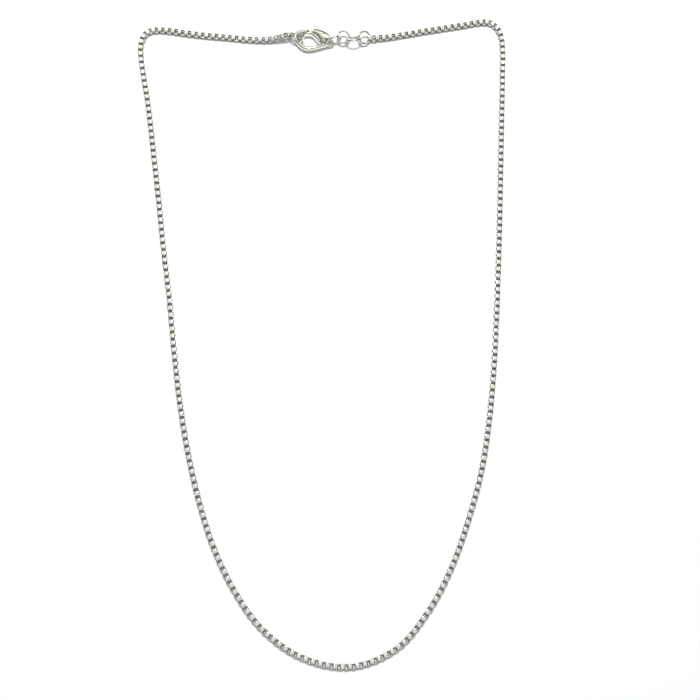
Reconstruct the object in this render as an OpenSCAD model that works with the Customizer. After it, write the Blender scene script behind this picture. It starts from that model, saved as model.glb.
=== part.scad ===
// Box chain necklace, lying flat on a surface.
// One strand of square chain closed in a loop by a lobster clasp and a row of jump rings.
// Millimetres. X runs to the right, Y from the bottom curve to the clasp, Z up from the surface.
// The origin is at the middle of the loop's outline, on the surface.

/* [Chain] */
// Length of the whole necklace when it is closed
necklace_l = 508; // [460:2:560]
// Outside width and height of the square chain
chain_w = 1.66; // [1.5:0.02:1.8]
// Corner taken off the square along each side
chain_corner = 0.3; // [0.1:0.05:0.5]
// Thickness of a link's wall
link_wall = 0.21; // [0.17:0.01:0.24]
// Length of the two end links, which also hold a ring's wire
end_link_l = 1.72; // [1.6:0.02:1.9]
// Width of the band that a link is bent from
link_band = 1.2; // [1:0.02:1.3]
// Outer corner radius of a link
link_corner = 0.36; // [0.3:0.02:0.5]

/* [Jump rings] */
// Outside diameter of the ring held in the clasp's hook
hook_ring_d = 4.6; // [4.4:0.1:5]
// Outside diameter of the ring in the clasp's eye
eye_ring_d = 3.7; // [3.4:0.1:4]
// Outside diameter of the two round rings
round_ring_d = 4.1; // [3.8:0.1:4.4]
// Outside diameter of the long ring between them
long_ring_d = 5.2; // [4.8:0.1:5.6]
// Diameter of the wire of the rings
ring_wire = 0.6; // [0.5:0.02:0.66]
// Width of the cut in each ring
ring_cut = 0.05; // [0.03:0.01:0.1]

/* [Clasp] */
// Length of the clasp from its nose to the end of its eye
clasp_l = 12.2; // [11.8:0.1:12.6]
// Height of the clasp across its hook and cheeks
clasp_h = 7; // [6.6:0.1:7.4]
// Thickness of the clasp over its two cheeks
clasp_t = 2.7; // [2.5:0.05:3]
// Width of the hook's arm
hook_w = 1.3; // [1.1:0.05:1.4]
// Thickness of the hook's arm
hook_t = 1.6; // [1.4:0.05:1.7]
// Outside diameter of the eye
eye_d = 2.4; // [2.2:0.05:2.6]
// Thickness of the eye's rim
eye_rim = 0.6; // [0.5:0.02:0.66]

/* [Lever] */
// Thickness of the lever's shank between the cheeks
shank_t = 1.1; // [0.9:0.05:1.2]
// Thickness of the lever's gate
gate_t = 2.2; // [1.8:0.05:2.3]
// Diameter of the rivet
rivet_d = 0.8; // [0.6:0.05:1]
// Diameter of the rivet's heads
rivet_head_d = 1.2; // [1.1:0.05:1.4]
// Height of the rivet's heads over the cheeks
rivet_head_h = 0.12; // [0.08:0.01:0.15]
// Diameter of the lever round the rivet
hub_d = 1.7; // [1.5:0.05:1.8]

/* [Clearances] */
// Gap between two pieces that hang in each other
link_gap = 0.12; // [0.1:0.01:0.15]
// Gap between the lever and the clasp beside it
lever_gap = 0.08; // [0.06:0.01:0.12]
// Radial clearance of the rivet in its bores
rivet_gap = 0.03; // [0.02:0.01:0.05]
// Gap under each head of the rivet
head_gap = 0.02; // [0.01:0.01:0.04]

/* [Hidden] */
$fn = 48;
silver = [0.82, 0.82, 0.8];

// Route of the chain's centre line between its two end links, chosen by hand.
// Columns: x, y, and how much of the end link's lift off the surface is left there.
// The chain rolls flat as it comes down.
// The points are for a necklace of drawn_l, and spread with its length.
route_left = [
    [-16.5, 85.8, 0.15], [-22, 85.9, 0], [-28.3, 86.5, 0], [-34.5, 87, 0], [-40.5, 87.7, 0],
    [-45.5, 88.4, 0], [-48.6, 88.6, 0], [-50.8, 88.3, 0], [-52.4, 87.3, 0], [-53.3, 85.6, 0],
    [-53.7, 83.2, 0], [-53.4, 79, 0], [-52.4, 73, 0], [-51.1, 66, 0], [-48.9, 50.5, 0],
    [-46.9, 35.5, 0], [-45, 20.5, 0], [-43, 6.3, 0], [-41.3, -8, 0], [-39.4, -22, 0],
    [-37, -35.2, 0], [-33.8, -48.3, 0], [-29.6, -61, 0], [-23.9, -72.6, 0], [-16.1, -83, 0],
    [-5.8, -90.1, 0]];
route_middle = [[6.9, -92.5, 0]];
route_right = [
    [18.9, -88.1, 0], [27.6, -78.5, 0], [34.1, -67.1, 0], [38.9, -54.8, 0], [42.8, -42, 0],
    [45.4, -28.4, 0], [47.2, -14.4, 0], [48.5, -0.2, 0], [49.6, 14.3, 0], [50.6, 29.2, 0],
    [51.5, 44.5, 0], [52.4, 60, 0], [53.3, 75, 0], [53.7, 84.5, 0], [53.5, 87.5, 0],
    [52.9, 89.5, 0], [52, 91, 0], [50.8, 92, 0], [48.9, 92.5, 0], [46.5, 92.3, 0],
    [42, 91.4, 0], [36, 90.3, 0], [30, 89.2, 0], [24, 88, 0], [18.5, 87, 0.2]];

drawn_l = 508;
spread = necklace_l / drawn_l;

// Longest stretch of chain between two rings of the tube's points
tube_step = 8.2;

// Place of the clasp: the middle of its length, and how far it is turned about Z
clasp_at = [-2.8, 85.7] * spread;
clasp_turn = -6.7;
clasp_z = 1.5;

// Middle of the ring in the hook, in the clasp's plane: along in % of clasp_l, across in % of clasp_h
hook_ring_row = [-42.5, 3.2];

// Turn of each ring: lean about its long axis, dip of that axis, heading of that axis
hook_ring_turn = [-41, 20, -8];
eye_ring_turn = [80, -13, 16];
left_ring_turn = [16, 1, 25];
long_ring_turn = [-48, -8, 0];
right_ring_turn = [24, 12, 20];

// Where the next piece hangs on each wire, in degrees round it from its long axis
eye_hang = 10;
left_ring_hang = -62;
right_ring_hang = -15;

// Where each ring is cut through, in degrees round it from its long axis
hook_ring_cut_at = 250;
eye_ring_cut_at = 100;
left_ring_cut_at = 80;
long_ring_cut_at = 260;
right_ring_cut_at = 75;

// How far each end link is swung about the wire that it hangs on
left_link_swing = -28;
right_link_swing = -12;

// Centre line of the hook, from the base round the nose to the tip.
// Columns: along in % of clasp_l, across in % of clasp_h, width in % of hook_w, thickness in % of hook_t.
hook_rows = [
    [36, -13, 66, 100], [30, -20.5, 62, 100], [24, -24, 66, 100], [18.5, -28, 74, 100],
    [11, -33.2, 82, 100], [3.3, -37.7, 88, 100], [-9.5, -43.6, 93, 100], [-18.3, -42.7, 95, 100],
    [-25.8, -37.1, 96, 100], [-32.7, -27.3, 98, 100], [-38.8, -16.7, 100, 100],
    [-42.7, -5.7, 101, 100], [-44.2, 3.6, 101, 100], [-42.5, 14.3, 100, 100],
    [-37.7, 22.9, 97, 98], [-30.7, 28.7, 92, 94], [-23.9, 32.9, 85, 90], [-17, 35.7, 72, 80],
    [-14.2, 36.6, 50, 60]];
hook_sides = 12;
hook_step = 0.9;

// Outline of a cheek. Columns: along in % of clasp_l, across in % of clasp_h.
cheek_rows = [
    [38, 7], [34, 5.5], [29, 6], [20.4, 5], [15.5, 11.9], [10.5, 20.6], [3.8, 27.1],
    [-3.7, 30.8], [-7.5, 31], [-7.8, 35.5], [-4, 38.9], [6.7, 43.2], [13, 42.2], [19.4, 39.4],
    [29.8, 32.4], [38, 21], [40.5, 15.5], [39.5, 10]];

// Outline of the solid web behind the lever, from the arm's base to the cheeks
web_rows = [
    [33.5, -21], [36.8, -15], [37.5, 2], [38, 10], [38, 18], [34, 24], [33, 15], [35, 6],
    [34.5, -4], [33, -14]];

// Outline of the lever's gate, from the tip along the outer side and back along the inner side
gate_rows = [
    [-24.2, 18.6], [-21.5, 23], [-16.7, 26], [-11.9, 27.4], [-3.8, 27.4], [3.3, 23.1], [9.4, 15.4],
    [14.2, 7.1], [17.3, -0.7], [18.3, -8], [18.3, -14.3], [15.5, -12.5], [10.1, -5], [3.4, 5.8],
    [-3.3, 15.4], [-10.8, 19], [-18.8, 16.9], [-23.8, 12.1]];

// Outline of the lever's shank and thumb tab
shank_rows = [
    [17, -5], [19.5, 0], [24, 7.5], [31, 14], [29, 25], [24.6, 30], [14, 36], [6.6, 41], [6.1, 58.5],
    [4.2, 60.7], [-1.3, 60.7], [-3.2, 58], [-3.2, 38], [-6.5, 33], [-8.5, 26], [-3.8, 23],
    [3.3, 17], [10, 8]];
pivot_row = [24.6, 18.6];

// How far the eye's middle lies below the middle of the clasp's height
eye_drop = 0.1;

// How far the web reaches into each cheek, to be one casting with it
web_bite = 0.01;

ring_r = ring_wire / 2;
eye_r = eye_rim / 2;
cheek_t = (clasp_t - shank_t) / 2 - lever_gap;
eye_at = [clasp_l / 2 - eye_d / 2, -eye_drop];
pivot_at = outline([pivot_row])[0];

// Turns a vector first about X, then Y, then Z
function turned(v, a) = let(
    p = [v[0], v[1] * cos(a[0]) - v[2] * sin(a[0]), v[1] * sin(a[0]) + v[2] * cos(a[0])],
    q = [p[0] * cos(a[1]) + p[2] * sin(a[1]), p[1], -p[0] * sin(a[1]) + p[2] * cos(a[1])])
    [q[0] * cos(a[2]) - q[1] * sin(a[2]), q[0] * sin(a[2]) + q[1] * cos(a[2]), q[2]];

// Point of the clasp's own plane in the necklace
function from_clasp(p) = [clasp_at[0], clasp_at[1], clasp_z] + turned([p[0], p[1], 0], [0, 0, clasp_turn]);

// Rows of percentages as points of the clasp's plane
function outline(rows) = [for (r = rows) [r[0] * clasp_l / 100, r[1] * clasp_h / 100]];

// Radius of the middle of a ring's wire
function middle_r(d) = (d - ring_wire) / 2;

// Point of a ring's wire, at an angle round it from its long axis
function on_wire(c, d, turn, angle) = c + middle_r(d) * turned([cos(angle), sin(angle), 0], turn);

// Centre of a ring that hangs inside another one's wire at point p and runs on in its own direction
function hung(c, p, wire_r, d, turn) = p + (wire_r + ring_r + link_gap) * (c - p) / norm(c - p)
    + middle_r(d) * turned([1, 0, 0], turn);

// Lowest height of a leaning ring's centre that keeps it on the surface
function ring_height(d, turn) = let(n = turned([0, 0, 1], turn))
    middle_r(d) * sqrt(1 - n[2] * n[2]) + ring_r;

// Rings from the clasp's eye to the right end of the chain
eye_p = eye_at + (eye_d / 2 - eye_r) * [cos(eye_hang), sin(eye_hang)];
eye_ring_at = hung(from_clasp(eye_at), from_clasp(eye_p), eye_r, eye_ring_d, eye_ring_turn);
eye_ring_p = on_wire(eye_ring_at, eye_ring_d, eye_ring_turn, 0);
left_ring_at = hung(eye_ring_at, eye_ring_p, ring_r, round_ring_d, left_ring_turn);
left_ring_p = on_wire(left_ring_at, round_ring_d, left_ring_turn, left_ring_hang);
long_ring_at = hung(left_ring_at, left_ring_p, ring_r, long_ring_d, long_ring_turn);
long_ring_p = on_wire(long_ring_at, long_ring_d, long_ring_turn, 0);
right_ring_at = hung(long_ring_at, long_ring_p, ring_r, round_ring_d, right_ring_turn);
right_ring_p = on_wire(right_ring_at, round_ring_d, right_ring_turn, right_ring_hang);

// Ring in the hook, resting on the surface
hook_ring_xy = from_clasp(outline([hook_ring_row])[0]);
hook_ring_at = [hook_ring_xy[0], hook_ring_xy[1], ring_height(hook_ring_d, hook_ring_turn)];

// End links: each holds a ring's wire near the inner side of its end wall, clear of the wire's bow
function wire_bow(d) = let(r = middle_r(d) - ring_r) r - sqrt(r * r - link_band * link_band / 4);
function link_hold(d) = end_link_l / 2 - link_wall - ring_r - link_gap - wire_bow(d);
left_link_way = turned(turned([-1, 0, 0], [0, left_link_swing, 0]), hook_ring_turn);
left_link_at = on_wire(hook_ring_at, hook_ring_d, hook_ring_turn, 180)
    + link_hold(hook_ring_d) * left_link_way;
right_link_way = turned(turned([1, 0, 0], [0, right_link_swing, right_ring_hang]), right_ring_turn);
right_link_at = right_ring_p + link_hold(round_ring_d) * right_link_way;
left_link_axis = turned([0, 1, 0], hook_ring_turn);
right_link_axis = turned(turned([0, 1, 0], [0, right_link_swing, right_ring_hang]), right_ring_turn);

// The whole centre line, from just past one end link to just before the other
link_step = end_link_l / 2 + 2 * link_gap;
tube_start = left_link_at + link_step * left_link_way;
tube_end = right_link_at + link_step * right_link_way;
function lifted(rows, end_z) = [for (r = rows)
    [r[0] * spread, r[1] * spread, chain_w / 2 + r[2] * (end_z - chain_w / 2)]];
route = concat([tube_start], lifted(route_left, tube_start[2]), lifted(route_middle, 0),
    lifted(route_right, tube_end[2]), [tube_end]);
middle_i = len(route_left) + 1;

// Slope of a smooth curve at point i of a list
function slope(p, i) = i == 0 ? (p[1] - p[0]) / norm(p[1] - p[0])
    : i == len(p) - 1 ? (p[i] - p[i - 1]) / norm(p[i] - p[i - 1])
    : let(a = norm(p[i] - p[i - 1]), b = norm(p[i + 1] - p[i]))
        ((p[i] - p[i - 1]) * b / a + (p[i + 1] - p[i]) * a / b) / (a + b);

// Point at share t of the smooth curve from point i to the next one
function on_curve(p, i, t) = let(h = norm(p[i + 1] - p[i]))
    (1 + 2 * t) * (1 - t) * (1 - t) * p[i] + t * (1 - t) * (1 - t) * h * slope(p, i)
    + t * t * (3 - 2 * t) * p[i + 1] - t * t * (1 - t) * h * slope(p, i + 1);

// Points of the smooth curve between two points of a list, no further apart than step
function smooth(p, from, to, step) = concat(
    [for (i = [from : to - 1]) let(n = ceil(norm(p[i + 1] - p[i]) / step))
        for (k = [0 : n - 1]) on_curve(p, i, k / n)],
    [p[to]]);

// Sides of the square section with its corners taken off
function square_section() = let(a = chain_w / 2, b = chain_w / 2 - chain_corner)
    [[a, -b], [a, b], [b, a], [-b, a], [-a, b], [-a, -b], [-b, -a], [b, -a]];

// Faces of a tube of n sides through m sections
function tube_faces(m, n) = concat(
    [[for (k = [n - 1 : -1 : 0]) k]],
    [for (i = [0 : m - 2]) for (k = [0 : n - 1])
        [i * n + k, i * n + (k + 1) % n, (i + 1) * n + (k + 1) % n, (i + 1) * n + k]],
    [[for (k = [0 : n - 1]) (m - 1) * n + k]]);

// Direction along a list of points at point i
function along(p, i) = let(d = p[min(i + 1, len(p) - 1)] - p[max(i - 1, 0)]) d / norm(d);

// Frame across a direction: level side, then up
function across(t) = let(s = cross(t, [0, 0, 1]), side = s / norm(s)) [side, cross(side, t)];

// Angle of an end link's axis in the frame across its way
function roll_of(way, axis) = let(f = across(way)) atan2(axis * f[1], axis * f[0]);

// Roll of the chain at a point, which fades out with its height over the level run
function roll_at(p, from_left) = let(end = from_left ? tube_start : tube_end,
    roll = from_left ? roll_of(left_link_way, left_link_axis) : roll_of(-right_link_way, right_link_axis))
    roll * (p[2] - chain_w / 2) / (end[2] - chain_w / 2);

// How far a half's end section is drawn back from the seam in the middle
function seam_shift(from, to, i, n) = from > 0 && i == 0 ? link_gap / 2
    : to == middle_i && i == n - 1 ? -link_gap / 2 : 0;

// One half of the strand: the square section swept along the smooth curve, clear of the other half
module strand(from, to) {
    whole = smooth(route, 0, len(route) - 1, tube_step);
    part = smooth(route, from, to, tube_step);
    first = from == 0 ? 0 : len(whole) - len(part);
    section = square_section();
    points = [for (i = [0 : len(part) - 1])
        let(t = along(whole, first + i), f = across(t), roll = roll_at(part[i], from == 0),
            side = cos(roll) * f[0] + sin(roll) * f[1], up = cos(roll) * f[1] - sin(roll) * f[0])
            for (q = section) part[i] + seam_shift(from, to, i, len(part)) * t + q[0] * side + q[1] * up];
    polyhedron(points, tube_faces(len(part), len(section)), convexity = 10);
}

module box_chain_left() {
    color(silver) strand(0, middle_i);
}

module box_chain_right() {
    color(silver) strand(middle_i, len(route) - 1);
}

// Square bar with round corners, its length along Y
module rounded_bar(l, h, r, w) {
    rotate([90, 0, 0])
        translate([0, 0, -w / 2])
            linear_extrude(w)
                union() {
                    square([l - 2 * r, h], center = true);
                    square([l, h - 2 * r], center = true);
                    for (x = [-1, 1], y = [-1, 1])
                        translate([x * (l / 2 - r), y * (h / 2 - r)]) circle(r);
                }
}

// End link: a square ring bent from a flat band, its hole along Y
module end_link() {
    difference() {
        rounded_bar(end_link_l, chain_w, link_corner, link_band);
        rounded_bar(end_link_l - 2 * link_wall, chain_w - 2 * link_wall, link_corner - link_wall,
            2 * link_band);
    }
}

module end_link_left() {
    color(silver) translate(left_link_at) rotate(hook_ring_turn)
        rotate([0, left_link_swing, 0]) end_link();
}

module end_link_right() {
    color(silver) translate(right_link_at) rotate(right_ring_turn)
        rotate([0, right_link_swing, right_ring_hang]) end_link();
}

// A jump ring of round wire, cut through at the side that cut_at names
module jump_ring(d, cut_at) {
    rotate([0, 0, cut_at])
        difference() {
            rotate_extrude() translate([middle_r(d), 0]) circle(ring_r);
            translate([middle_r(d), 0, 0]) cube([2 * ring_wire, ring_cut, 2 * ring_wire], center = true);
        }
}

module hook_ring() {
    color(silver) translate(hook_ring_at) rotate(hook_ring_turn) jump_ring(hook_ring_d, hook_ring_cut_at);
}

module eye_ring() {
    color(silver) translate(eye_ring_at) rotate(eye_ring_turn) jump_ring(eye_ring_d, eye_ring_cut_at);
}

module round_ring_left() {
    color(silver) translate(left_ring_at) rotate(left_ring_turn) jump_ring(round_ring_d, left_ring_cut_at);
}

module long_ring() {
    color(silver) translate(long_ring_at) rotate(long_ring_turn) jump_ring(long_ring_d, long_ring_cut_at);
}

module round_ring_right() {
    color(silver) translate(right_ring_at) rotate(right_ring_turn) jump_ring(round_ring_d, right_ring_cut_at);
}

// Puts what is drawn in the clasp's own plane into the necklace
module in_clasp() {
    translate([clasp_at[0], clasp_at[1], clasp_z]) rotate([0, 0, clasp_turn]) children();
}

// Plate of an outline, thick as said, with its middle at height z
module plate(rows, t, z) {
    translate([0, 0, z - t / 2]) linear_extrude(t) polygon(outline(rows));
}

// The hook's arm: an oval section swept along its centre line
module hook_arm() {
    line = [for (p = outline(hook_rows)) [p[0], p[1], 0]];
    fine = smooth(line, 0, len(line) - 1, hook_step);
    share = [for (i = [0 : len(line) - 2]) let(n = ceil(norm(line[i + 1] - line[i]) / hook_step))
        for (k = [0 : n - 1]) i + k / n];
    at = concat(share, [len(line) - 1]);
    points = [for (i = [0 : len(fine) - 1])
        let(t = along(fine, i), side = cross(t, [0, 0, 1]),
            a = floor(at[i]), b = min(a + 1, len(line) - 1), f = at[i] - a,
            w = hook_w * ((1 - f) * hook_rows[a][2] + f * hook_rows[b][2]) / 200,
            h = hook_t * ((1 - f) * hook_rows[a][3] + f * hook_rows[b][3]) / 200)
            for (k = [0 : hook_sides - 1])
                let(q = 360 * k / hook_sides) fine[i] + w * cos(q) * side + h * sin(q) * [0, 0, 1]];
    polyhedron(points, tube_faces(len(fine), hook_sides), convexity = 6);
}

// Bore for the rivet, through the whole clasp
module rivet_bore() {
    translate([pivot_at[0], pivot_at[1], -clasp_t])
        cylinder(h = 2 * clasp_t, r = rivet_d / 2 + rivet_gap);
}

module clasp_body() {
    color(silver) in_clasp() difference() {
        union() {
            hook_arm();
            for (s = [-1, 1]) plate(cheek_rows, cheek_t, s * (clasp_t - cheek_t) / 2);
            plate(web_rows, clasp_t - 2 * (cheek_t - web_bite), 0);
            translate([eye_at[0], eye_at[1], 0])
                rotate_extrude() translate([eye_d / 2 - eye_r, 0]) circle(eye_r);
        }
        rivet_bore();
    }
}

module clasp_lever() {
    color(silver) in_clasp() difference() {
        union() {
            plate(gate_rows, gate_t, 0);
            plate(shank_rows, shank_t, 0);
            translate([pivot_at[0], pivot_at[1], -shank_t / 2]) cylinder(h = shank_t, r = hub_d / 2);
        }
        rivet_bore();
    }
}

module clasp_rivet() {
    color(silver) in_clasp() translate([pivot_at[0], pivot_at[1], 0]) {
        cylinder(h = clasp_t + 2 * rivet_head_h, r = rivet_d / 2, center = true);
        for (s = [-1, 1]) translate([0, 0, s * (clasp_t / 2 + rivet_head_h / 2 + head_gap)])
            cylinder(h = rivet_head_h, r = rivet_head_d / 2, center = true);
    }
}

box_chain_left();
box_chain_right();
end_link_left();
end_link_right();
hook_ring();
clasp_body();
clasp_lever();
clasp_rivet();
eye_ring();
round_ring_left();
long_ring();
round_ring_right();
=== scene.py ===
import bpy
import numpy as np
from mathutils import Matrix, Vector


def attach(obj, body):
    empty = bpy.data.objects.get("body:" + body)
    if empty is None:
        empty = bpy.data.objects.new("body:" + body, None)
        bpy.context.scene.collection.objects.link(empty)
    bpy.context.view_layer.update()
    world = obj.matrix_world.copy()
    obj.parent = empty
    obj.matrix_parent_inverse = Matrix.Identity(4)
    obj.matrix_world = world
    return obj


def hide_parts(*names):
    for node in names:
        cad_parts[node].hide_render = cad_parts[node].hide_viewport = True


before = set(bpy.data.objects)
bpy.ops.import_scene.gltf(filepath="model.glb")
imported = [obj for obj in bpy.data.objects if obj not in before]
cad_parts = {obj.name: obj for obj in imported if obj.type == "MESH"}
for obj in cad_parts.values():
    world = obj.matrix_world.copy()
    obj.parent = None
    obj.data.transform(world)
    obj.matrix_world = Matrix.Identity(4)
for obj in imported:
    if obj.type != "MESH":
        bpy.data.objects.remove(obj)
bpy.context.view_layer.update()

MM = 0.001
FAR = 1e9   # further than anything here
rng = np.random.default_rng(7)

# Sizes in millimetres, as in the part's source
CHAIN_W = 1.66
LINK_WALL = 0.21
LINK_BAND = 1.14
LINK_CORNER = 0.34
LINK_CROWN = 0.025
BAND_CROWN = 0.015
LINK_L = 1.446
END_LINK_L = 1.72
END_CORNER = 0.36
END_BAND = 1.2
LINK_GAP = 0.12
RING_WIRE = 0.6
RING_CUT = 0.05
HOOK_RING_D, EYE_RING_D, ROUND_RING_D, LONG_RING_D = 4.6, 3.7, 4.1, 5.2
CLASP_L, CLASP_H, CLASP_T = 12.2, 7.0, 2.7
HOOK_W, HOOK_T = 1.3, 1.6
EYE_D, EYE_RIM, EYE_Y = 2.4, 0.6, -0.1
WEB_T, SHANK_T, GATE_T = 1.7, 1.1, 2.2
RIVET_D, RIVET_HEAD_D, RIVET_HEAD_H, HUB_D = 0.8, 1.2, 0.12, 1.7
LEVER_GAP = 0.08
BORE_GAP = 0.03

# Route of the chain's centre line: x, y, share of the end link's lift left there
ROUTE_LEFT = [
    (-16.5, 85.8, 0.15), (-22, 85.9, 0), (-28.3, 86.5, 0), (-34.5, 87, 0), (-40.5, 87.7, 0),
    (-45.5, 88.4, 0), (-48.6, 88.6, 0), (-50.8, 88.3, 0), (-52.4, 87.3, 0), (-53.3, 85.6, 0),
    (-53.7, 83.2, 0), (-53.4, 79, 0), (-52.4, 73, 0), (-51.1, 66, 0), (-48.9, 50.5, 0),
    (-46.9, 35.5, 0), (-45, 20.5, 0), (-43, 6.3, 0), (-41.3, -8, 0), (-39.4, -22, 0),
    (-37, -35.2, 0), (-33.8, -48.3, 0), (-29.6, -61, 0), (-23.9, -72.6, 0), (-16.1, -83, 0),
    (-5.8, -90.1, 0)]
ROUTE_MIDDLE = [(6.9, -92.5, 0)]
ROUTE_RIGHT = [
    (18.9, -88.1, 0), (27.6, -78.5, 0), (34.1, -67.1, 0), (38.9, -54.8, 0), (42.8, -42, 0),
    (45.4, -28.4, 0), (47.2, -14.4, 0), (48.5, -0.2, 0), (49.6, 14.3, 0), (50.6, 29.2, 0),
    (51.5, 44.5, 0), (52.4, 60, 0), (53.3, 75, 0), (53.7, 84.5, 0), (53.5, 87.5, 0),
    (52.9, 89.5, 0), (52, 91, 0), (50.8, 92, 0), (48.9, 92.5, 0), (46.5, 92.3, 0),
    (42, 91.4, 0), (36, 90.3, 0), (30, 89.2, 0), (24, 88, 0), (18.5, 87, 0.2)]

# Place of the clasp, turns in degrees of the clasp and the rings, and where each ring holds the next
CLASP_AT = np.array([-2.8, 85.7, 1.5])
CLASP_TURN = (0, 0, -6.7)
HOOK_RING_ROW = (-42.5, 3.2)
HOOK_RING_TURN = (-41, 20, -8)
EYE_RING_TURN = (80, -13, 16)
LEFT_RING_TURN = (16, 1, 25)
LONG_RING_TURN = (-48, -8, 0)
RIGHT_RING_TURN = (24, 12, 20)
HOOK_RING_HANG, EYE_HANG, LEFT_RING_HANG, RIGHT_RING_HANG = 180, 10, -62, -15
LEFT_LINK_SWING, RIGHT_LINK_SWING = -28, -12

# Centre line of the hook: along and across in % of the clasp, width and thickness in % of the arm
HOOK_ROWS = [
    (38.5, -12.5, 50, 50), (36, -14.5, 58, 68), (30, -20, 62, 90), (24, -24, 66, 97),
    (18.5, -28, 74, 100), (11, -33.2, 82, 100), (3.3, -37.7, 88, 100), (-9.5, -43.6, 93, 100),
    (-18.3, -42.7, 95, 100), (-25.8, -37.1, 96, 100), (-32.7, -27.3, 98, 100),
    (-38.8, -16.7, 100, 100), (-42.7, -5.7, 101, 100), (-44.2, 3.6, 101, 100),
    (-42.5, 14.3, 100, 100), (-37.7, 22.9, 97, 98), (-30.7, 28.7, 92, 94), (-23.9, 32.9, 85, 90),
    (-17, 35.7, 72, 80), (-14.2, 36.6, 50, 60)]
# Outlines of the cheeks, the web between them, and the lever's gate and shank, in % of the clasp
CHEEK_ROWS = [
    (38, 7), (34, 5.5), (29, 6), (20.4, 5), (15.5, 11.9), (10.5, 20.6), (3.8, 27.1),
    (-3.7, 30.8), (-7.5, 31), (-7.8, 35.5), (-4, 38.9), (6.7, 43.2), (13, 42.2), (19.4, 39.4),
    (29.8, 32.4), (38, 21), (40.5, 15.5), (39.5, 10)]
WEB_ROWS = [
    (34.3, -15), (36, -13), (37.5, 2), (38, 10), (38, 18), (34, 24), (33, 15), (35, 6),
    (34.5, -4), (33.3, -12)]
GATE_ROWS = [
    (-24.2, 18.6), (-21.5, 23), (-16.7, 26), (-11.9, 27.4), (-3.8, 27.4), (3.3, 23.1), (9.4, 15.4),
    (14.2, 7.1), (17.3, -0.7), (18.3, -8), (18.3, -14.3), (15.5, -12.5), (10.1, -5), (3.4, 5.8),
    (-3.3, 15.4), (-10.8, 19), (-18.8, 16.9), (-23.8, 12.1)]
SHANK_ROWS = [
    (17, -5), (19.5, 0), (24, 7.5), (31, 14), (29, 25), (24.6, 30), (14, 36), (6.6, 41), (6.1, 58.5),
    (4.2, 60.7), (-1.3, 60.7), (-3.2, 58), (-3.2, 38), (-6.5, 33), (-8.5, 26), (-3.8, 23),
    (3.3, 17), (10, 8)]
PIVOT_ROW = (24.6, 18.6)


# Placing, as the source places its pieces
def turn_matrix(angles):
    rx, ry, rz = (Matrix.Rotation(np.radians(angles[i]), 3, "XYZ"[i]) for i in range(3))
    return np.array(rz @ ry @ rx)


def turned(v, angles):
    return turn_matrix(angles) @ np.asarray(v, float)


def unit(v):
    v = np.asarray(v, float)
    return v / np.linalg.norm(v)


def outline(rows):
    """Rows in % of the clasp as points in millimetres."""
    return np.array([(r[0] * CLASP_L / 100, r[1] * CLASP_H / 100) for r in rows])


def from_clasp(p):
    return CLASP_AT + turned((p[0], p[1], 0), CLASP_TURN)


def middle_r(d):
    """Radius of a ring's wire line, from the ring's outer diameter."""
    return (d - RING_WIRE) / 2


def on_wire(centre, d, turn, angle):
    """Point of a ring's wire line at an angle in degrees round it."""
    a = np.radians(angle)
    return centre + middle_r(d) * turned((np.cos(a), np.sin(a), 0), turn)


def hung(centre, held_at, wire_r, d, turn):
    """Centre of a ring that hangs outwards on the wire of a piece, at a point of that wire."""
    out = (wire_r + RING_WIRE / 2 + LINK_GAP) * unit(centre - held_at)
    return held_at + out + middle_r(d) * turned((1, 0, 0), turn)


def link_hold(d):
    """From a ring's wire to the middle of the end link that it holds."""
    r = middle_r(d) - RING_WIRE / 2
    bow = r - np.sqrt(r * r - END_BAND ** 2 / 4)
    return END_LINK_L / 2 - LINK_WALL - RING_WIRE / 2 - LINK_GAP - bow


eye_at = np.array([CLASP_L / 2 - EYE_D / 2, EYE_Y])
eye_a = np.radians(EYE_HANG)
eye_p = eye_at + (EYE_D - EYE_RIM) / 2 * np.array([np.cos(eye_a), np.sin(eye_a)])
eye_ring_at = hung(from_clasp(eye_at), from_clasp(eye_p), EYE_RIM / 2, EYE_RING_D, EYE_RING_TURN)
eye_ring_p = on_wire(eye_ring_at, EYE_RING_D, EYE_RING_TURN, 0)
left_ring_at = hung(eye_ring_at, eye_ring_p, RING_WIRE / 2, ROUND_RING_D, LEFT_RING_TURN)
left_ring_p = on_wire(left_ring_at, ROUND_RING_D, LEFT_RING_TURN, LEFT_RING_HANG)
long_ring_at = hung(left_ring_at, left_ring_p, RING_WIRE / 2, LONG_RING_D, LONG_RING_TURN)
long_ring_p = on_wire(long_ring_at, LONG_RING_D, LONG_RING_TURN, 0)
right_ring_at = hung(long_ring_at, long_ring_p, RING_WIRE / 2, ROUND_RING_D, RIGHT_RING_TURN)
right_ring_p = on_wire(right_ring_at, ROUND_RING_D, RIGHT_RING_TURN, RIGHT_RING_HANG)

hook_ring_xy = from_clasp(outline([HOOK_RING_ROW])[0])
hook_lean = turned((0, 0, 1), HOOK_RING_TURN)[2]
hook_ring_z = middle_r(HOOK_RING_D) * np.sqrt(1 - hook_lean ** 2) + RING_WIRE / 2
hook_ring_at = np.array([hook_ring_xy[0], hook_ring_xy[1], hook_ring_z])
hook_ring_p = on_wire(hook_ring_at, HOOK_RING_D, HOOK_RING_TURN, HOOK_RING_HANG)

left_axes = turn_matrix(HOOK_RING_TURN) @ turn_matrix((0, LEFT_LINK_SWING, 0))
right_axes = turn_matrix(RIGHT_RING_TURN) @ turn_matrix((0, RIGHT_LINK_SWING, RIGHT_RING_HANG))
left_way, right_way = -left_axes[:, 0], right_axes[:, 0]
left_link_at = hook_ring_p + link_hold(HOOK_RING_D) * left_way
right_link_at = right_ring_p + link_hold(ROUND_RING_D) * right_way


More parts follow.
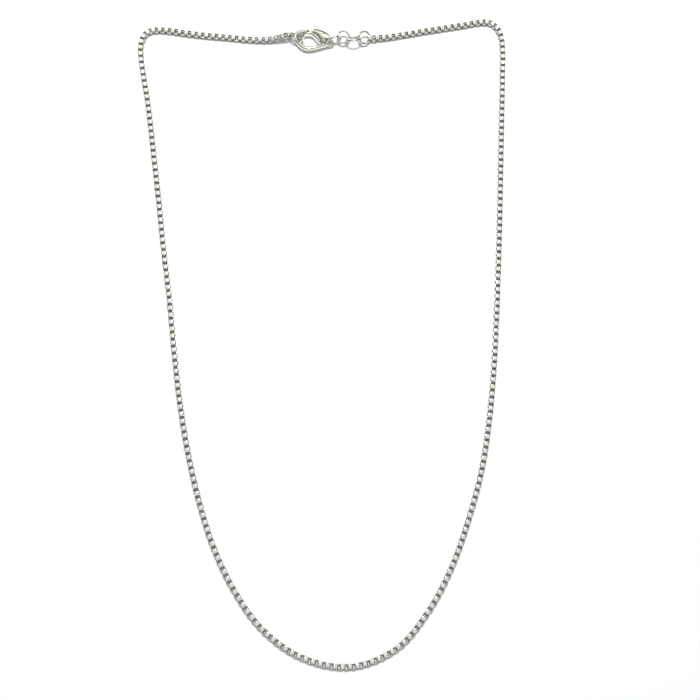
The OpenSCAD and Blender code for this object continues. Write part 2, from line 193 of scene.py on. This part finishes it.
# Meshes
def add_mesh(name, verts, faces, body, nodes):
    """A mesh piece from points in millimetres; faces is one array or a list of arrays."""
    me = bpy.data.meshes.new(name)
    blocks = faces if isinstance(faces, list) else [faces]
    blocks = [np.asarray(b) for b in blocks]
    loops = np.concatenate([b.ravel() for b in blocks])
    counts = np.concatenate([np.full(len(b), b.shape[1]) for b in blocks])
    starts = np.concatenate([[0], np.cumsum(counts)[:-1]])
    me.vertices.add(len(verts))
    me.vertices.foreach_set("co", (np.asarray(verts) * MM).astype(np.float32).ravel())
    me.loops.add(len(loops))
    me.loops.foreach_set("vertex_index", loops.astype(np.int32))
    me.polygons.add(len(counts))
    me.polygons.foreach_set("loop_start", starts.astype(np.int32))
    me.polygons.foreach_set("use_smooth", np.full(len(counts), True))
    me.update(calc_edges=True)
    me.validate()
    obj = bpy.data.objects.new(name, me)
    bpy.context.scene.collection.objects.link(obj)
    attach(obj, body)
    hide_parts(*nodes)
    return obj


def tube_grid(rows, cols, closed):
    """Quads over rows of points, each row a closed section."""
    i = np.arange(rows if closed else rows - 1)[:, None]
    k = np.arange(cols)[None, :]
    j, n = (i + 1) % rows, (k + 1) % cols
    return np.stack([i * cols + k, j * cols + k, j * cols + n, i * cols + n], -1).reshape(-1, 4)


# Points round each bend of a link, and along each crowned plate in shares of its half length
BEND_POINTS = 7
PLATE_POINTS = (0.6, 0, -0.6)
# Section of a link's band: reach of its softened edges, their middle point, and its flat middle
EDGE_SOFT = 0.07
EDGE_MIDDLE = 0.3
FLAT_SHARE = 0.45
# Shares of painted shade: down an edge of the band's inside, from 0 outside to 1 inside, and on a
# hidden end
EDGE_PAINTED_SHADE = (0.4, 0.8)
END_PAINTED_SHADE = 0.65


def band_section(band):
    """Section of a band: across the band, height over its outer face, share of painted shade."""
    h, w, t = EDGE_SOFT, band / 2, LINK_WALL
    m = EDGE_MIDDLE * h
    near, far = EDGE_PAINTED_SHADE
    return [(w, -h, 0), (w - m, -m, 0), (w - h, 0, 0),
            (w * FLAT_SHARE, BAND_CROWN, 0), (-w * FLAT_SHARE, BAND_CROWN, 0),
            (-w + h, 0, 0), (-w + m, -m, 0), (-w, -h, 0),
            (-w, -t + h, near), (-w + m, -t + m, far), (-w + h, -t, 1),
            (w - h, -t, 1), (w - m, -t + m, far), (w, -t + h, near)]


def link_mesh(length, corner, band, hidden_ends=(-1, 1)):
    """A square link bent from a band, its length along X and its hole along Y.

    Gives its points, its faces and each point's share of painted shade. A hidden end lies inside the
    next link, where shade falls, so it gets painted shade outside too.
    """
    a, b, r = length / 2, CHAIN_W / 2 - LINK_CROWN - BAND_CROWN, corner
    path = []
    for side_x, side_z, start in ((1, 1, 0), (-1, 1, 90), (-1, -1, 180), (1, -1, 270)):
        for q in np.linspace(0, 90, BEND_POINTS):
            t = np.radians(start + q)
            path.append((side_x * (a - r) + r * np.cos(t), side_z * (b - r) + r * np.sin(t),
                         np.cos(t), np.sin(t)))
        nx, nz = np.cos(np.radians(start + 90)), np.sin(np.radians(start + 90))
        if abs(nx) > 0.5:
            path.append((a if nx > 0 else -a, 0, nx, 0))
            continue
        for u in PLATE_POINTS:
            path.append((u * (a - r) * nz, (b + LINK_CROWN * (1 - u * u)) * nz, 0, nz))
    section = band_section(band)
    pts = np.array([[(x + up * nx, y, z + up * nz) for y, up, _ in section]
                    for x, z, nx, nz in path])
    # Painted shade of a hidden end: 1 on its plate, and 0 where the bend has turned 48 degrees away
    # from it
    end_shades = [max(0, 3 * max(nx * e for e in hidden_ends) - 2) for _, _, nx, _ in path]
    painted_shade = np.array([[max(share, END_PAINTED_SHADE * e) for _, _, share in section] for e in end_shades])
    faces = tube_grid(len(path), len(section), True)[:, ::-1]
    return pts.reshape(-1, 3), faces, painted_shade.ravel()


def slopes(p):
    """Slope of a smooth curve at each of its points, and the lengths between them."""
    d = np.diff(p, axis=0)
    n = np.linalg.norm(d, axis=1)[:, None]
    m = np.zeros_like(p)
    m[0], m[-1] = d[0] / n[0], d[-1] / n[-1]
    m[1:-1] = (d[:-1] * n[1:] / n[:-1] + d[1:] * n[:-1] / n[1:]) / (n[:-1] + n[1:])
    return m, n


def smooth_line(p, step):
    """Fine points of the smooth curve through a list of points, and each one's place in the list."""
    p = np.asarray(p, float)
    m, n = slopes(p)
    out, at = [], []
    for i in range(len(p) - 1):
        c = max(2, int(np.ceil(n[i, 0] / step)))
        for k in range(c):
            t = k / c
            out.append((1 + 2 * t) * (1 - t) ** 2 * p[i] + t * (1 - t) ** 2 * n[i] * m[i]
                       + t * t * (3 - 2 * t) * p[i + 1] - t * t * (1 - t) * n[i] * m[i + 1])
            at.append(i + t)
    return np.array(out + [p[-1]]), np.array(at + [len(p) - 1])


def across(t):
    side = unit(np.cross(t, (0, 0, 1)))
    return side, np.cross(side, t)


def lift(rows, end_z):
    return [(x, y, CHAIN_W / 2 + s * (end_z - CHAIN_W / 2)) for x, y, s in rows]


def roll_of(way, axis):
    """Turn about a line of its way, from lying flat to having an axis across it."""
    side, up = across(way)
    return np.arctan2(axis @ up, axis @ side)


# Centre line of the strand in steps, run on past its end so that a link can be tried there
STRAND_STEP = 0.05
PAST_END = 40
# The line's way at a place is taken over this reach to each side
WAY_REACH = 0.4
# Search for the play between two bands: a first guess, its bounds, rounds, and rounds for a bend
PLAY_GUESS = 0.02
PLAY_LOW, PLAY_HIGH = 0.0, 0.06
PLAY_ROUNDS = 24
BEND_ROUNDS = 3
# Both runs at the top lie turned a little to the front: how far, up to where, and over what fade
LYING_ROLL = np.radians(14)
LYING_RUN, LYING_FADE = 66.0, 24.0
# Spread in degrees of how each link hangs in the next
ROLL_SPREAD, TIP_SPREAD = 0.7, 0.8
QUARTER_TURN = np.array([[1, 0, 0], [0, 0, -1], [0, 1, 0]], float)
STRAND_PIECES = 6

link_pts, link_faces, link_painted_shade = link_mesh(LINK_L, LINK_CORNER, LINK_BAND)
tube_from_link = END_LINK_L / 2 + 2 * LINK_GAP
tube_start = left_link_at + tube_from_link * left_way
tube_end = right_link_at + tube_from_link * right_way
route = np.array([tube_start, *lift(ROUTE_LEFT, tube_start[2]), *lift(ROUTE_MIDDLE, 0),
                  *lift(ROUTE_RIGHT, tube_end[2]), tube_end])
strand = np.vstack([left_link_at, smooth_line(route, STRAND_STEP)[0], right_link_at,
                    right_link_at - PAST_END * right_way])
strand_run = np.concatenate([[0], np.cumsum(np.linalg.norm(np.diff(strand, axis=0), axis=1))])
strand_l = strand_run[-2]
left_roll = roll_of(left_way, left_axes[:, 2])
right_roll = roll_of(-right_way, right_axes[:, 1])


def at_run(s):
    return np.array([np.interp(s, strand_run, strand[:, i]) for i in range(3)])


def way_at(s):
    return unit(at_run(s + WAY_REACH) - at_run(s - WAY_REACH))


def place_links(play):
    """Run of each strand link's centre, each as far on as the two bands let it hang."""
    reach = LINK_L / 2 - LINK_WALL
    s = END_LINK_L / 2 - LINK_WALL + reach - play
    out = [s]
    while s < strand_l + PAST_END / 2:
        further = s + 2 * reach - play
        for _ in range(BEND_ROUNDS):
            bend = np.arccos(np.clip(way_at(s) @ way_at(further), -1, 1))
            further = s + 2 * reach - play - 0.5 * LINK_BAND * np.tan(bend)
        s = further
        out.append(s)
    return np.array(out)


def link_centres():
    """Runs of the links that fill the strand evenly, their number even for the two end links."""
    goal = strand_l - (END_LINK_L / 2 - LINK_WALL + LINK_L / 2 - LINK_WALL)
    last = 2 * int(np.argmin(np.abs(place_links(PLAY_GUESS) - goal)) / 2) + 1
    low, high = PLAY_LOW, PLAY_HIGH
    for _ in range(PLAY_ROUNDS):
        play = (low + high) / 2
        if place_links(play)[last] > goal + play:
            low = play
        else:
            high = play
    return place_links(play)[:last + 1]


def placed_link(k, s):
    """Points of link k of the strand, its centre at s along it."""
    p, t = at_run(s), way_at(s)
    side, up = across(t)
    from_left = s < strand_l / 2
    end, end_roll = (tube_start, left_roll) if from_left else (tube_end, right_roll)
    lifted = (p[2] - CHAIN_W / 2) / (end[2] - CHAIN_W / 2)
    lying = LYING_ROLL * np.clip((LYING_RUN - min(s, strand_l - s)) / LYING_FADE, 0, 1)
    roll = lying + lifted * (end_roll - lying)
    roll += np.radians(rng.normal(0, ROLL_SPREAD))
    tip = np.radians(rng.normal(0, TIP_SPREAD, 2))
    side2 = np.cos(roll) * side + np.sin(roll) * up
    up2 = np.cos(roll) * up - np.sin(roll) * side
    along = unit(t + tip[0] * side2 + tip[1] * up2)
    side2 = unit(side2 - (side2 @ along) * along)
    # Columns: along the link, across it, up
    axes = np.stack([along, -side2, np.cross(side2, along)], 1)
    if k % 2 == 1:
        axes = axes @ QUARTER_TURN
    pts = link_pts @ axes.T + p
    pts[:, 2] -= min(0, pts[:, 2].min())
    return pts


def chain_piece(name, pts, faces, painted_shade, node):
    """Links of the chain as one piece, with each point's share of painted shade."""
    obj = add_mesh(name, pts, faces, "necklace", [node])
    # Point attribute that carries the painted shade of the recesses and hidden ends
    inner = obj.data.attributes.new("inner", "FLOAT", "POINT")
    inner.data.foreach_set("value", painted_shade.astype(np.float32))
    return obj


links = [placed_link(k, s) for k, s in enumerate(link_centres())]
cuts = np.linspace(0, len(links), STRAND_PIECES + 1).astype(int)
strands = []
for j, (a, b) in enumerate(zip(cuts, cuts[1:])):
    half = "left" if j < STRAND_PIECES // 2 else "right"
    faces = np.concatenate([link_faces + k * len(link_pts) for k in range(b - a)])
    strands.append(chain_piece(f"box_links_{half}_{j % (STRAND_PIECES // 2) + 1}",
                               np.concatenate(links[a:b]), faces, np.tile(link_painted_shade, b - a),
                               "box_chain_" + half))

for name, at, axes, chain_end in (("end_link_left", left_link_at, left_axes, -1),
                                  ("end_link_right", right_link_at, right_axes, 1)):
    pts, faces, painted_shade = link_mesh(END_LINK_L, END_CORNER, END_BAND, (chain_end,))
    strands.append(chain_piece("bent_" + name, pts @ axes.T + at, faces, painted_shade, name))

# Points round a ring, degrees from point to point round its wire, and the sawn ends' size
RING_POINTS = 97
WIRE_STEP = 15
CUT_END = 0.93


def ring_mesh(node, d, at, turn, cut_at):
    """A jump ring of round wire with a sawn cut."""
    r, w = middle_r(d), RING_WIRE / 2
    half = np.degrees(RING_CUT / 2 / r)
    around = np.radians(cut_at + np.linspace(half, 360 - half, RING_POINTS))
    wire = np.radians(np.arange(0, 360, WIRE_STEP))
    rows = []
    for i, a in enumerate(around):
        k = w if 0 < i < len(around) - 1 else w * CUT_END
        rows.append([((r + k * np.cos(q)) * np.cos(a), (r + k * np.cos(q)) * np.sin(a),
                      k * np.sin(q)) for q in wire])
    n = len(wire)
    pts = np.array(rows).reshape(-1, 3)
    faces = tube_grid(len(around), n, False)
    caps = np.array([list(range(n))[::-1], [(len(around) - 1) * n + k for k in range(n)]])
    return add_mesh(node + "_wire", pts @ turn_matrix(turn).T + at, [faces[:, ::-1], caps[:, ::-1]],
                    "necklace", [node])


# The last number is the place of the saw cut, in degrees round the ring
rings = [
    ring_mesh("hook_ring", HOOK_RING_D, hook_ring_at, HOOK_RING_TURN, 250),
    ring_mesh("eye_ring", EYE_RING_D, eye_ring_at, EYE_RING_TURN, 100),
    ring_mesh("round_ring_left", ROUND_RING_D, left_ring_at, LEFT_RING_TURN, 80),
    ring_mesh("long_ring", LONG_RING_D, long_ring_at, LONG_RING_TURN, 260),
    ring_mesh("round_ring_right", ROUND_RING_D, right_ring_at, RIGHT_RING_TURN, 75),
]


# The clasp, from distances in its own plane
# Step of the grid, and where it begins and ends along x, y and z
GRID = 0.055
GRID_FROM, GRID_TO = (-6.5, -3.9, -1.65), (6.6, 4.6, 1.66)
xs, ys, zs = (np.arange(low, high, GRID) for low, high in zip(GRID_FROM, GRID_TO))
gx, gy = np.meshgrid(xs, ys, indexing="ij")
gz = zs[None, None, :]
OUTLINE_STEP, ARM_STEP = 0.2, 0.06
# Power of the hook's section: 2 is an ellipse, more is fuller
ARM_POWER = 2.3


def flat_distance(poly):
    """Signed distance of every column of the grid from an outline, less than 0 inside."""
    p = np.asarray(poly, float)
    best = np.full(gx.shape, FAR)
    inside = np.zeros(gx.shape, bool)
    for a, b in zip(p, np.roll(p, -1, axis=0)):
        e = b - a
        t = np.clip(((gx - a[0]) * e[0] + (gy - a[1]) * e[1]) / (e @ e), 0, 1)
        best = np.minimum(best, np.hypot(gx - a[0] - t * e[0], gy - a[1] - t * e[1]))
        cross = (a[1] > gy) != (b[1] > gy)
        with np.errstate(divide="ignore", invalid="ignore"):
            hit = gx < (b[0] - a[0]) * (gy - a[1]) / (b[1] - a[1]) + a[0]
        inside ^= cross & hit
    return np.where(inside, -best, best)


def closed_smooth(rows):
    """An outline with its corners turned into one smooth closed curve."""
    p = outline(rows)
    line, at = smooth_line(np.vstack([p[-2:], p, p[:2]]), OUTLINE_STEP)
    keep = (at >= 2) & (at < len(p) + 2)
    return line[keep]


def slab(flat, low, high, soft, crown=0.0, crown_w=1.0):
    """A plate of an outline between two heights, with soft edges and crowned faces."""
    f = flat[:, :, None]
    dome = crown * (1 - np.clip(-f / crown_w, 0, 1)) ** 2
    middle, half = (low + high) / 2, (high - low) / 2
    dz = np.abs(gz - middle) - (half - dome)
    a, b = f + soft, dz + soft
    return np.minimum(np.maximum(a, b), 0) + np.hypot(np.maximum(a, 0), np.maximum(b, 0)) - soft


def blend_union(a, b, k):
    """Two forms as one, with a fillet of size k where they meet."""
    h = np.clip(0.5 + 0.5 * (b - a) / k, 0, 1)
    return b * (1 - h) + a * h - k * h * (1 - h)


def blend_cut(a, b, k):
    return -blend_union(-a, b, k)


def oval_arm(rows):
    """The hook's arm: an oval section along its centre line."""
    fine, at = smooth_line(outline(rows), ARM_STEP)
    w = np.interp(at, np.arange(len(rows)), [r[2] for r in rows]) * HOOK_W / 200
    h = np.interp(at, np.arange(len(rows)), [r[3] for r in rows]) * HOOK_T / 200
    best = np.full(gx.shape, FAR)
    width, height = np.zeros(gx.shape), np.zeros(gx.shape)
    for q, wi, hi in zip(fine, w, h):
        d = np.hypot(gx - q[0], gy - q[1])
        near = d < best
        best[near] = d[near]
        width[near], height[near] = wi, hi
    f = (best / width)[:, :, None]
    g = np.abs(gz) / height[:, :, None]
    level = (f ** ARM_POWER + g ** ARM_POWER) ** (1 / ARM_POWER)
    return (level - 1) * np.minimum(width, height)[:, :, None]


def net_of(d):
    """Surface of the grid's zero level, as quads between the cells that it passes through."""
    nx, ny, nz = d.shape
    sign = d < 0
    corner = [(i, j, k) for i in (0, 1) for j in (0, 1) for k in (0, 1)]
    within = sum(sign[i:nx - 1 + i, j:ny - 1 + j, k:nz - 1 + k].astype(int) for i, j, k in corner)
    mixed = (within > 0) & (within < len(corner))
    idx = np.full(mixed.shape, -1)
    at = np.argwhere(mixed)
    idx[mixed] = np.arange(len(at))
    sums, weight = np.zeros((len(at), 3)), np.zeros(len(at))
    for a in corner:
        for axis in range(3):
            if a[axis]:
                continue
            b = list(a)
            b[axis] = 1
            da = d[tuple((at + a).T)]
            db = d[tuple((at + b).T)]
            cross = (da < 0) != (db < 0)
            t = np.where(cross, da / np.where(cross, da - db, 1), 0)
            p = np.tile(np.array(a, float), (len(at), 1))
            p[:, axis] = t
            sums += p * cross[:, None]
            weight += cross
    verts = at + sums / weight[:, None]
    quads = []
    for axis in range(3):
        lo = [slice(1, n - 1) for n in (nx, ny, nz)]
        lo[axis] = slice(0, (nx, ny, nz)[axis] - 1)
        hi = list(lo)
        hi[axis] = slice(1, (nx, ny, nz)[axis])
        a, b = sign[tuple(lo)], sign[tuple(hi)]
        u, v = [i for i in range(3) if i != axis]
        for edge, flip in ((a & ~b, False), (~a & b, True)):
            e = np.argwhere(edge) + np.array([s.start for s in lo])
            ring = []
            for du, dv in ((0, 0), (-1, 0), (-1, -1), (0, -1)):
                c = e.copy()
                c[:, u] += du
                c[:, v] += dv
                ring.append(idx[tuple(c.T)])
            q = np.stack(ring, 1)
            quads.append(q[:, ::-1] if flip != (axis == 1) else q)
    pts = np.array([xs[0], ys[0], zs[0]]) + verts * GRID
    return pts, np.concatenate(quads)


def relax(pts, quads, rounds=2, share=0.35):
    """Evens out the surface's points between their neighbours."""
    edges = np.concatenate([quads[:, [0, 1]], quads[:, [1, 2]], quads[:, [2, 3]], quads[:, [3, 0]]])
    for _ in range(rounds):
        sums, n = np.zeros_like(pts), np.zeros(len(pts))
        for a, b in ((0, 1), (1, 0)):
            np.add.at(sums, edges[:, a], pts[edges[:, b]])
            np.add.at(n, edges[:, a], 1)
        pts = pts + share * (sums / n[:, None] - pts)
    return pts


# Softness of the edges, then rise of a crowned face and how far in from the edge it rises
CHEEK_FORM = (0.16, 0.22, 1.1)
GATE_FORM = (0.3, 0.16, 0.5)
WEB_SOFT, SHANK_SOFT, HUB_SOFT = 0.12, 0.14, 0.1
# Size of the fillet where two forms meet
WEB_BLEND, ARM_BLEND, EYE_BLEND, SHANK_BLEND, BORE_BLEND = 0.12, 0.22, 0.5, 0.16, 0.03

pivot = outline([PIVOT_ROW])[0]
from_pivot = np.hypot(gx - pivot[0], gy - pivot[1])
from_eye = np.hypot(gx - eye_at[0], gy - eye_at[1])
bore = (from_pivot - RIVET_D / 2 - BORE_GAP)[:, :, None] + 0 * gz

cheek_t = (CLASP_T - SHANK_T) / 2 - LEVER_GAP
cheek_flat = flat_distance(closed_smooth(CHEEK_ROWS))
cheeks = np.minimum(slab(cheek_flat, CLASP_T / 2 - cheek_t, CLASP_T / 2, *CHEEK_FORM),
                    slab(cheek_flat, -CLASP_T / 2, -CLASP_T / 2 + cheek_t, *CHEEK_FORM))
web = slab(flat_distance(closed_smooth(WEB_ROWS)), -WEB_T / 2, WEB_T / 2, WEB_SOFT)
eye = np.hypot(from_eye[:, :, None] - (EYE_D - EYE_RIM) / 2, gz) - EYE_RIM / 2
cast = blend_union(cheeks, web, WEB_BLEND)
cast = blend_union(cast, oval_arm(HOOK_ROWS), ARM_BLEND)
cast = blend_union(cast, eye, EYE_BLEND)
cast = blend_cut(cast, bore, BORE_BLEND)

gate = slab(flat_distance(closed_smooth(GATE_ROWS)), -GATE_T / 2, GATE_T / 2, *GATE_FORM)
shank = slab(flat_distance(closed_smooth(SHANK_ROWS)), -SHANK_T / 2, SHANK_T / 2, SHANK_SOFT)
hub = slab(from_pivot - HUB_D / 2, -SHANK_T / 2, SHANK_T / 2, HUB_SOFT)
lever = blend_union(gate, shank, SHANK_BLEND)
lever = np.minimum(lever, hub)
lever = blend_cut(lever, bore, BORE_BLEND)


def clasp_mesh(name, pts, faces, body, node):
    """A piece of the clasp, from points in the clasp's own plane."""
    return add_mesh(name, pts @ turn_matrix(CLASP_TURN).T + CLASP_AT, faces, body,
                    [node])


def cast_piece(name, d, body, node):
    pts, quads = net_of(d)
    return clasp_mesh(name, relax(pts, quads), quads, body, node)


# Points round the rivet. Its head: radius and drop of two points of the dome, softness of the
# rim, and heights over the cheek of the head's underside and of the rim's lower edge
RIVET_POINTS = 40
DOME_ROWS = ((0.25, 0.008), (0.42, 0.03))
RIM_SOFT = 0.06
HEAD_SIT, RIM_SIT = 0.02, 0.035


def rivet_mesh(name, node):
    """The rivet: a pin with a low domed head at each side."""
    r, cheek = RIVET_HEAD_D / 2, CLASP_T / 2
    top = cheek + RIVET_HEAD_H
    half = [(radius, top - drop) for radius, drop in DOME_ROWS]
    half += [(r - RIM_SOFT, top - RIM_SOFT), (r, cheek + RIM_SIT), (r, cheek + HEAD_SIT),
             (RIVET_D / 2, cheek + HEAD_SIT)]
    rows = half + [(a, -z) for a, z in reversed(half)]
    n = RIVET_POINTS
    q = np.radians(np.arange(n) * 360 / n)
    pts = np.array([[(a * np.cos(t), a * np.sin(t), z) for t in q] for a, z in rows]).reshape(-1, 3)
    pts = np.vstack([pts, (0, 0, top), (0, 0, -top)])
    last = (len(rows) - 1) * n
    caps = np.array([(k, (k + 1) % n, len(pts) - 2) for k in range(n)]
                    + [(last + (k + 1) % n, last + k, len(pts) - 1) for k in range(n)])
    return clasp_mesh(name, pts + (pivot[0], pivot[1], 0), [tube_grid(len(rows), n, False), caps],
                      "necklace", node)


clasp = [cast_piece("clasp_cast_body", cast, "necklace", "clasp_body"),
         cast_piece("clasp_cast_lever", lever, "lever", "clasp_lever"),
         rivet_mesh("clasp_rivet_pin", "clasp_rivet")]


# Materials
# Scale, detail and roughness of the noise of the tone, the grain and the dents
TONE_NOISE, GRAIN_NOISE, DENT_NOISE = (900, 3, 0.55), (2600, 2, 0.5), (700, 1, 0.4)
# Depths in metres
GRAIN_DEPTH, DENT_DEPTH = 0.00001, 0.00006
# The darkest tone, and the least and most roughness, as shares of a metal's own
TONE_LOW = 0.93
ROUGH_LOW, ROUGH_HIGH = 0.75, 1.3
# Where in the noise each of them is reached
TONE_STOPS, ROUGH_STOPS = (0.3, 0.7), (0.3, 0.75)
# The painted shade is rougher than the metal and only partly metallic
PAINTED_SHADE_ROUGH, PAINTED_SHADE_METALLIC = 0.45, 0.35


def silver(name, base, rough, grain, dent, painted_shade=None):
    """Plated silver: fine grain and soft dents, and a colour of painted shade for the recesses if
    given.
    """
    m = bpy.data.materials.new(name)
    m.use_nodes = True
    nt = m.node_tree
    nt.nodes.clear()
    out = nt.nodes.new("ShaderNodeOutputMaterial")
    bsdf = nt.nodes.new("ShaderNodeBsdfPrincipled")
    bsdf.inputs["Metallic"].default_value = 1
    bsdf.inputs["IOR"].default_value = 1.5
    nt.links.new(bsdf.outputs[0], out.inputs[0])
    geo = nt.nodes.new("ShaderNodeNewGeometry")

    def noise(scale, detail, roughness):
        n = nt.nodes.new("ShaderNodeTexNoise")
        n.inputs["Scale"].default_value = scale
        n.inputs["Detail"].default_value = detail
        n.inputs["Roughness"].default_value = roughness
        nt.links.new(geo.outputs["Position"], n.inputs["Vector"])
        return n.outputs["Fac"]

    def ramp(source, stops, colours):
        r = nt.nodes.new("ShaderNodeValToRGB")
        for element, stop, colour in zip(r.color_ramp.elements, stops, colours):
            element.position = stop
            element.color = (*colour, 1)
        nt.links.new(source, r.inputs[0])
        return r.outputs["Color"]

    def mixed(kind, a, b, factor):
        mix = nt.nodes.new("ShaderNodeMix")
        mix.data_type = kind
        nt.links.new(factor, mix.inputs["Factor"])
        nt.links.new(a, next(i for i in mix.inputs if i.name == "A" and i.enabled))
        next(i for i in mix.inputs if i.name == "B" and i.enabled).default_value = b
        return next(o for o in mix.outputs if o.enabled)

    def bump(height, strength, depth):
        b = nt.nodes.new("ShaderNodeBump")
        b.inputs["Strength"].default_value = strength
        b.inputs["Distance"].default_value = depth
        nt.links.new(height, b.inputs["Height"])
        return b

    fine = noise(*GRAIN_NOISE)
    colour = ramp(noise(*TONE_NOISE), TONE_STOPS, ([TONE_LOW * c for c in base], base))
    roughness = ramp(fine, ROUGH_STOPS, ([rough * ROUGH_LOW] * 3, [rough * ROUGH_HIGH] * 3))
    # Painted shade: the point attribute darkens the recesses and hidden ends towards this colour
    if painted_shade:
        att = nt.nodes.new("ShaderNodeAttribute")
        att.attribute_name = "inner"
        share = att.outputs["Fac"]
        colour = mixed("RGBA", colour, (*painted_shade, 1), share)
        roughness = mixed("FLOAT", roughness, PAINTED_SHADE_ROUGH, share)
        shine = nt.nodes.new("ShaderNodeMapRange")
        shine.inputs["To Min"].default_value = 1
        shine.inputs["To Max"].default_value = PAINTED_SHADE_METALLIC
        nt.links.new(share, shine.inputs["Value"])
        nt.links.new(shine.outputs[0], bsdf.inputs["Metallic"])
    nt.links.new(colour, bsdf.inputs["Base Color"])
    nt.links.new(roughness, bsdf.inputs["Roughness"])
    grains = bump(fine, grain, GRAIN_DEPTH)
    dents = bump(noise(*DENT_NOISE), dent, DENT_DEPTH)
    nt.links.new(grains.outputs["Normal"], dents.inputs["Normal"])
    nt.links.new(dents.outputs["Normal"], bsdf.inputs["Normal"])
    return m


# Colour of the painted shade in the chain's recesses and on its hidden ends
PAINTED_SHADE_COLOUR = (0.15, 0.16, 0.175)
chain_silver = silver("chain_silver", (0.81, 0.805, 0.73), 0.11, 0.18, 0.3, PAINTED_SHADE_COLOUR)
ring_silver = silver("ring_silver", (0.74, 0.735, 0.67), 0.10, 0.12, 0.18)
clasp_silver = silver("clasp_silver", (0.76, 0.75, 0.67), 0.12, 0.15, 0.24)
for group, mat in ((strands, chain_silver), (rings, ring_silver), (clasp, clasp_silver)):
    for obj in group:
        obj.data.materials.append(mat)


def silver_of(node):
    """The metal of a piece of the source, from its name."""
    if "chain" in node or "end_link" in node:
        return chain_silver
    return ring_silver if "ring" in node else clasp_silver


for name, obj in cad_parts.items():
    obj.data.materials.clear()
    obj.data.materials.append(silver_of(name))


# Floor, light and camera, in metres
FLOOR_HALF, FLOOR_DROP = 3.0, 0.00001
WARM, COOL = (1, 0.985, 0.95), (0.95, 0.98, 1)
PANEL_W, PANEL_Z = 0.9, 0.6
KEY_AT = (-0.01, 0.2, 0.7)


def add_floor():
    me = bpy.data.meshes.new("floor")
    s = FLOOR_HALF
    me.from_pydata([(-s, -s, 0), (s, -s, 0), (s, s, 0), (-s, s, 0)], [], [(0, 1, 2, 3)])
    o = bpy.data.objects.new("floor", me)
    o.location.z = -FLOOR_DROP
    bpy.context.scene.collection.objects.link(o)
    m = bpy.data.materials.new("floor_paper")
    m.use_nodes = True
    b = m.node_tree.nodes["Principled BSDF"]
    b.inputs["Base Color"].default_value = (0.93, 0.93, 0.93, 1)
    b.inputs["Roughness"].default_value = 0.9
    b.inputs["Specular IOR Level"].default_value = 0.1
    me.materials.append(m)


def add_light(name, at, look, size, radiance, colour=(1, 1, 1), mirrored=True, spread=True):
    """A rectangular panel. Mirrored: polished faces show it. Spread: it lights matt surfaces."""
    light = bpy.data.lights.new(name, "AREA")
    light.shape = "RECTANGLE"
    light.size, light.size_y = size
    light.energy = radiance * np.pi * size[0] * size[1]
    light.color = colour
    o = bpy.data.objects.new(name, light)
    o.location = at
    o.rotation_euler = (Vector(look) - Vector(at)).to_track_quat("-Z", "Y").to_euler()
    o.visible_glossy = mirrored
    o.visible_diffuse = spread
    bpy.context.scene.collection.objects.link(o)


def add_panel(name, y, depth, radiance, colour, spread=True):
    """A panel over the part that faces straight down."""
    add_light(name, (0, y, PANEL_Z), (0, y, 0), (PANEL_W, depth), radiance, colour, spread=spread)


add_floor()
add_panel("overhead", 0.15, 0.34, 0.86, WARM)
add_panel("back", 0.53, 0.40, 1.2, WARM, spread=False)
add_panel("front", -0.2, 0.34, 0.72, COOL)
add_light("low_front", (0, -0.72, 0.5), (0, 0.085, 0), (PANEL_W, 0.55), 0.42, COOL, spread=False)
add_light("key", KEY_AT, (0, 0, 0), (0.1, 0.1), 22)
add_light("key_soft", KEY_AT, (0, 0, 0), (0.155, 0.155), 47, mirrored=False)

world = bpy.data.worlds.new("studio")
world.use_nodes = True
background = world.node_tree.nodes["Background"]
background.inputs["Color"].default_value = (0.9, 0.95, 1.0, 1)
background.inputs["Strength"].default_value = 0.18
bpy.context.scene.world = world
bpy.context.scene.view_settings.view_transform = "Standard"

# The camera as fitted to the photo: its place, its way, its level axis and its focal length
CAMERA_AT = (-3.177 * MM, -67.16 * MM, 272.05 * MM)
CAMERA_WAY = (0.037804, 0.211964, -0.976546)
CAMERA_LEVEL = (0.999285, -0.008019, 0.036944)
SENSOR_W = 36
FOCAL_PIXELS, PHOTO_PIXELS = 1000, 700
NEAREST, FARTHEST = 0.01, 10

back = -Vector(CAMERA_WAY).normalized()
up = back.cross(Vector(CAMERA_LEVEL).normalized()).normalized()
right = up.cross(back)
data = bpy.data.cameras.new("camera")
data.sensor_width = SENSOR_W
data.lens = SENSOR_W * FOCAL_PIXELS / PHOTO_PIXELS
data.clip_start, data.clip_end = NEAREST, FARTHEST
camera = bpy.data.objects.new("camera", data)
camera.matrix_world = Matrix([(*row, place) for *row, place in zip(right, up, back, CAMERA_AT)]
                             + [(0, 0, 0, 1)])
bpy.context.scene.collection.objects.link(camera)
bpy.context.scene.camera = camera
